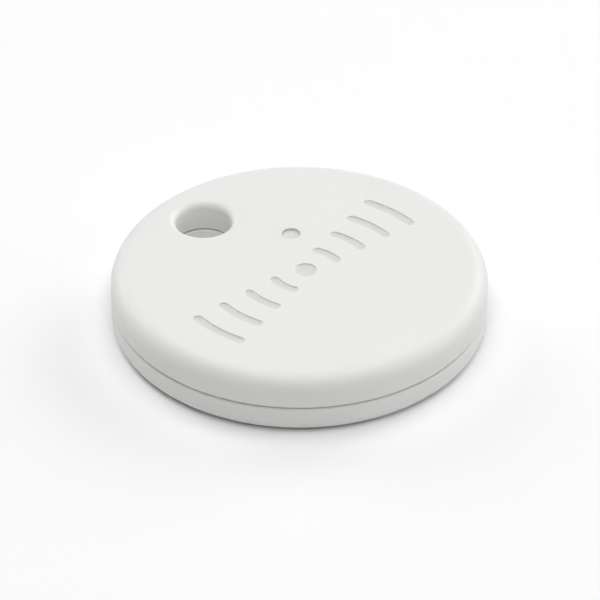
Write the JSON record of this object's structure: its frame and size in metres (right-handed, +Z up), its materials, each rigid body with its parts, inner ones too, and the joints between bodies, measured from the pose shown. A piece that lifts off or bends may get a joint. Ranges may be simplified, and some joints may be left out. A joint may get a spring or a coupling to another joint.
{
  "type": "bluetooth tracker tag",
  "caption": "Round flat plastic tracker tag with a keyring hole, a side seam that opens for its coin cell, a pressable front and a piezo sounder inside.",
  "frame": {"origin": "middle of the rear face, on the surface the tag lies on", "axes": "+Z up out of the front cover, +Y towards the keyring hole, +X to the right when the emblem is read with the hole at the top"},
  "size_m": [0.038, 0.038, 0.0064],
  "materials": {
    "shell_plastic": "satin off-white moulded plastic",
    "seal_rubber": "matte dark silicone",
    "holder_plastic": "matte black moulded plastic",
    "board_laminate": "green solder mask on laminate",
    "cell_steel": "nickel-plated stainless steel",
    "cradle_steel": "stamped stainless steel",
    "contact_steel": "tinned spring steel",
    "gold_plate": "gold-plated spring metal",
    "piezo_brass": "bare rolled brass",
    "piezo_ceramic": "silvered ceramic",
    "polyimide": "amber polyimide film",
    "vent_film": "white porous film",
    "vent_foam": "dark adhesive foam",
    "cell_seal": "translucent grey polymer",
    "cathode_mix": "pressed black powder",
    "lithium": "soft dull metal",
    "separator_paper": "white non-woven film",
    "chip_epoxy": "black moulding compound",
    "crystal_lid": "nickel-plated lid",
    "antenna_ceramic": "white sintered ceramic",
    "ferrite": "dark grey sintered ferrite",
    "tantalum": "yellow moulded body",
    "capacitor_ceramic": "tan sintered ceramic",
    "resistor_film": "black glazed film"
  },
  "bodies": {
    "rear_half": {"rear_cover": "shell_plastic", "perimeter_seal": "seal_rubber", "keyring_hole_seal": "seal_rubber", "circuit_board": "board_laminate", "battery_holder": "holder_plastic", "positive_contact": "contact_steel", "negative_contact": "contact_steel", "switch_dome": "gold_plate", "dome_film": "polyimide", "buzzer_spring_1": "gold_plate", "buzzer_spring_2": "gold_plate", "radio_chip": "chip_epoxy", "antenna_chip": "antenna_ceramic", "main_crystal": "crystal_lid", "clock_crystal": "crystal_lid", "buzzer_driver": "chip_epoxy", "boost_inductor": "ferrite", "bulk_capacitor": "tantalum", "capacitor_1": "capacitor_ceramic", "capacitor_2": "capacitor_ceramic", "capacitor_3": "capacitor_ceramic", "capacitor_4": "capacitor_ceramic", "resistor_1": "resistor_film", "resistor_2": "resistor_film", "resistor_3": "resistor_film", "resistor_4": "resistor_film", "antenna_matching_1": "capacitor_ceramic", "antenna_matching_2": "capacitor_ceramic", "antenna_matching_3": "capacitor_ceramic"},
    "cradle": {"cell_cradle": "cradle_steel", "insulating_film": "polyimide"},
    "coin_cell": {"cell_can": "cell_steel", "cell_cap": "cell_steel", "cell_gasket": "cell_seal", "cell_anode": "lithium", "cell_separator": "separator_paper", "cell_cathode": "cathode_mix"},
    "front_half": {"front_cover": "shell_plastic", "vent_membrane": "vent_film", "vent_gasket": "vent_foam", "piezo_plate": "piezo_brass", "piezo_ceramic": "piezo_ceramic", "piezo_flex": "polyimide"}
  },
  "joints": [
    {"name": "switch_press", "type": "slide", "parent": "rear_half", "child": "cradle", "axis": [0, 0, -1], "range_m": [0, 0.00015], "stiffness_N_per_m": 10000, "deforming": ["negative_contact", "switch_dome", "buzzer_spring_1", "buzzer_spring_2"]},
    {"name": "front_cover_lift", "type": "slide", "parent": "cradle", "child": "front_half", "axis": [0, 0, 1], "range_m": [0, 0.016]},
    {"name": "cell_lift", "type": "slide", "parent": "cradle", "child": "coin_cell", "axis": [0, 0, 1], "range_m": [0, 0.008]}
  ],
  "couplings": [
    {"joint": "cell_lift", "follows": "front_cover_lift", "ratio": 0.5}
  ]
}
